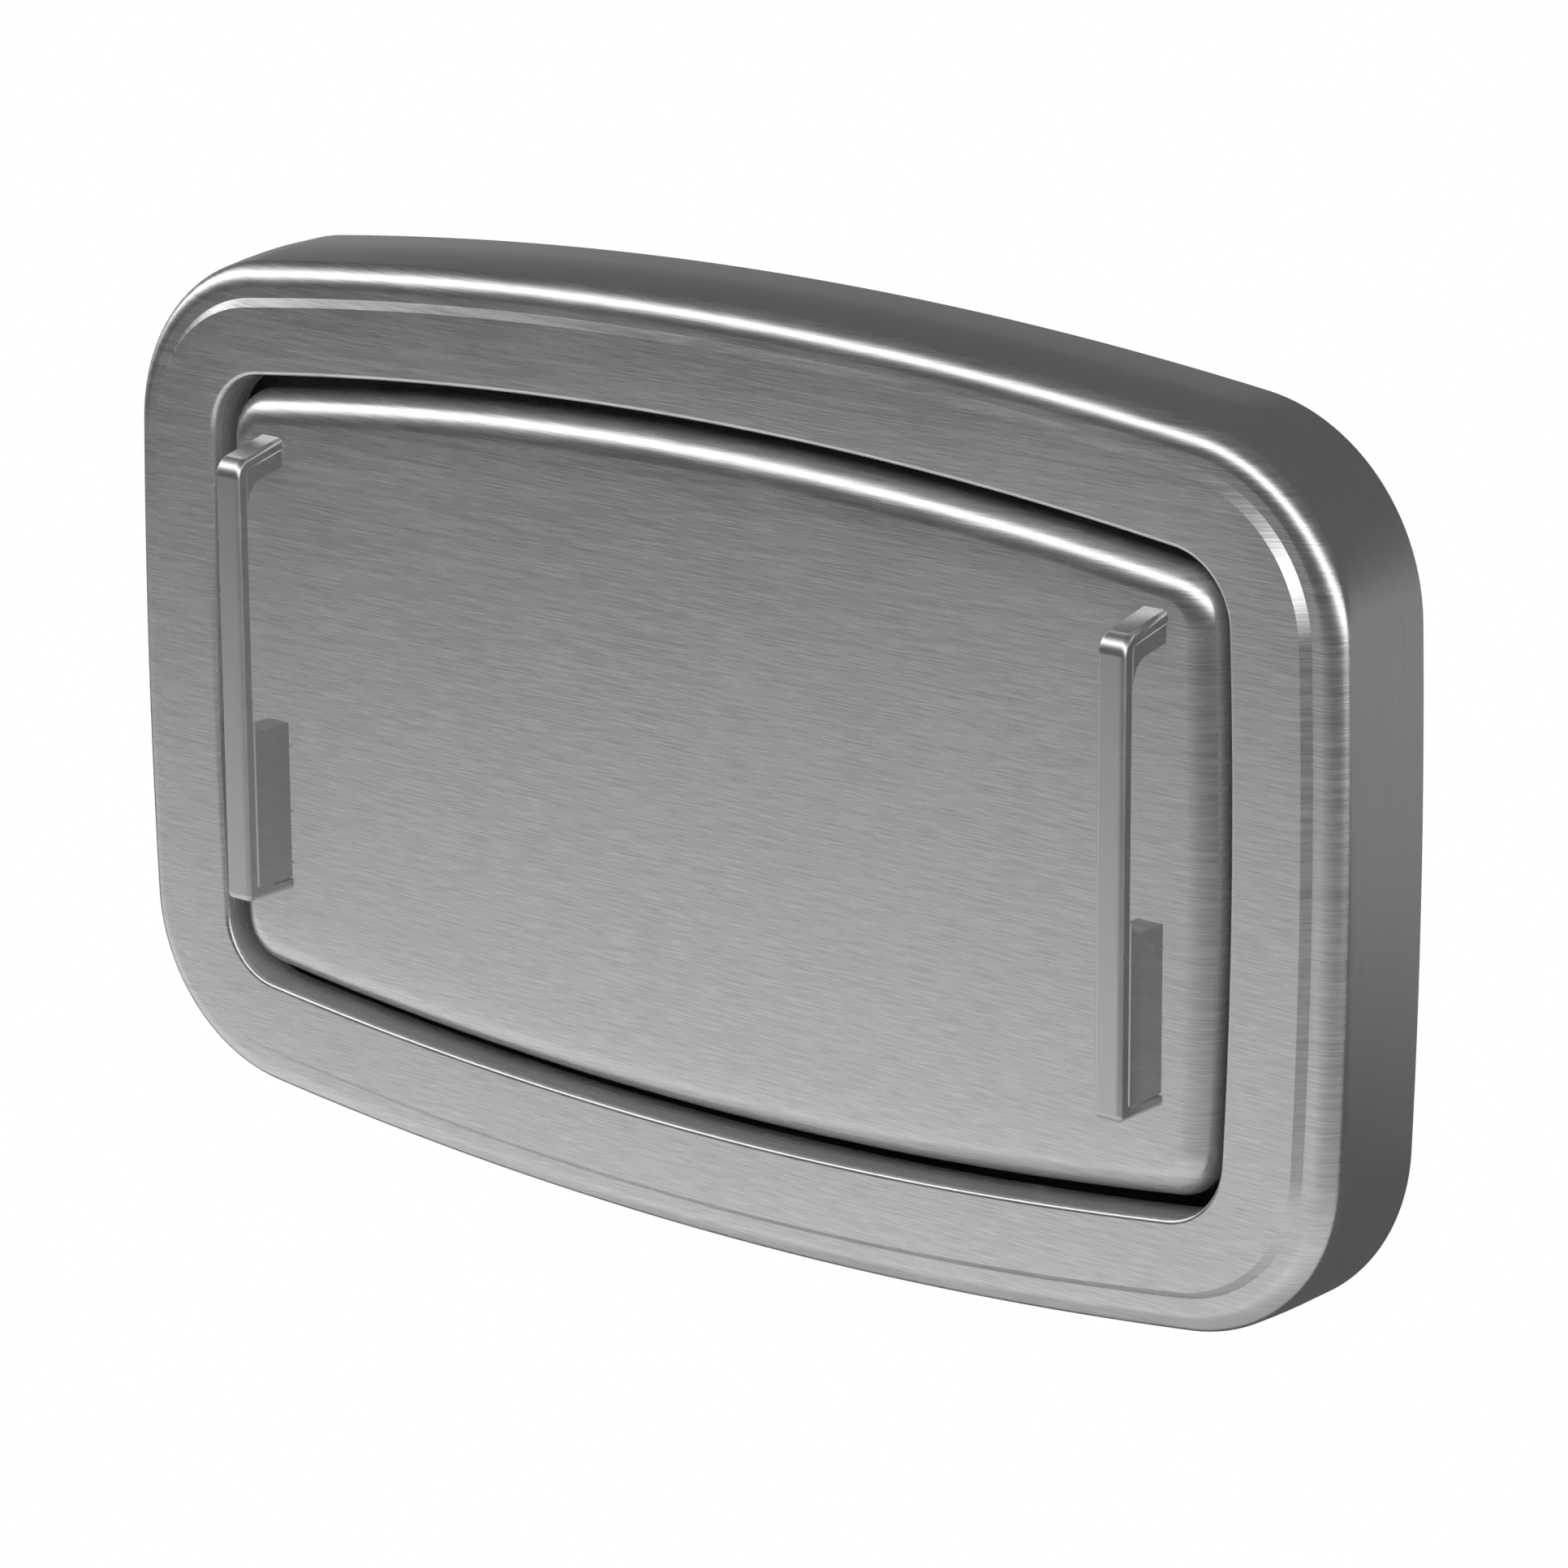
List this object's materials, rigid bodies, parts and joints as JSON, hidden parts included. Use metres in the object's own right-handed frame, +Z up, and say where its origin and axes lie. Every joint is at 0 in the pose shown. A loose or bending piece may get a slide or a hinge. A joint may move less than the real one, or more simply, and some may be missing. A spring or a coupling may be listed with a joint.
{
  "type": "wall mounted changing station",
  "caption": "Wall mounted baby changing station with a bowed steel casing, a fold-down bed, pull handles and a moulded bed hollow inside.",
  "frame": {"origin": "centre of the wall face, midway between the four wall bolts", "axes": "+X to the right seen from the front, +Y into the wall, +Z up"},
  "size_m": [0.9598, 0.13, 0.6089],
  "materials": {
    "casing_steel": "fine horizontal brushed grain, satin",
    "door_steel": "fine horizontal brushed grain, satin",
    "handle_steel": "smooth satin steel",
    "pan_steel": "plain mill sheet",
    "zinc_steel": "bright zinc plate",
    "hinge_steel": "drawn satin steel",
    "screw_steel": "bright turned steel",
    "polished_rod": "polished",
    "black_paint": "semi-gloss black",
    "grey_plastic": "fine moulded texture",
    "liner_plastic": "fine moulded texture",
    "black_plastic": "moulded, low sheen",
    "black_rubber": "matt",
    "webbing": "woven nylon"
  },
  "bodies": {
    "casing": {"surround": "casing_steel", "back_pan": "pan_steel", "mounting_plates": "zinc_steel", "inner_panel": "grey_plastic", "panel_screws": "screw_steel", "bumpers": "black_rubber", "hinge_rail": "zinc_steel", "rail_screws": "screw_steel", "hinge_leaf_fixed": "hinge_steel", "hinge_pin": "screw_steel", "spring_bracket_casing": "zinc_steel", "liner_box": "liner_plastic", "liner_cover_pin": "screw_steel", "casing_screws": "screw_steel", "casing_hook": "zinc_steel"},
    "bed": {"door_skin": "door_steel", "handle_left": "handle_steel", "handle_right": "handle_steel", "handle_screws": "screw_steel", "bed_tray": "grey_plastic", "tray_screws": "screw_steel", "bed_channels": "zinc_steel", "bed_hinge_channel": "zinc_steel", "hinge_leaf_bed": "hinge_steel", "stop_lugs": "zinc_steel", "spring_bracket_bed": "zinc_steel", "strap_anchors": "black_plastic", "strap_lower": "webbing", "strap_upper": "webbing", "strap_tail": "webbing", "buckle_receiver": "black_plastic", "buckle_plug": "black_plastic"},
    "gas_cylinder": {"gas_cylinder": "black_paint"},
    "gas_rod": {"gas_rod": "polished_rod", "spring_end_stud": "screw_steel"},
    "liner_cover": {"liner_cover": "liner_plastic", "lock_body": "polished_rod"},
    "lock": {"lock_core": "polished_rod", "lock_cam": "zinc_steel"}
  },
  "joints": [
    {"name": "bed_hinge", "type": "hinge", "parent": "casing", "child": "bed", "pos_m": [0, -0.068, -0.178], "axis": [1, 0, 0], "range_deg": [0, 90], "stiffness_Nm_per_rad": 2, "springref_deg": -57.3},
    {"name": "cylinder_swing", "type": "hinge", "parent": "casing", "child": "gas_cylinder", "pos_m": [-0.38, -0.03, 0.15], "axis": [1, 0, 0], "range_deg": [-4.1, 0]},
    {"name": "rod_slide", "type": "slide", "parent": "gas_cylinder", "child": "gas_rod", "axis": [0, -0.133, -0.9911], "range_m": [0, 0.0364]},
    {"name": "cover_tilt", "type": "hinge", "parent": "casing", "child": "liner_cover", "pos_m": [0, -0.0338, -0.0745], "axis": [1, 0, 0], "range_deg": [0, 15]},
    {"name": "lock_turn", "type": "hinge", "parent": "liner_cover", "child": "lock", "pos_m": [0, -0.03, 0.015], "axis": [0, 1, 0], "range_deg": [0, 90]}
  ],
  "couplings": [
    {"joint": "cylinder_swing", "follows": "bed_hinge", "ratio": -0.04442},
    {"joint": "rod_slide", "follows": "bed_hinge", "m_per_rad": 0.023089}
  ]
}
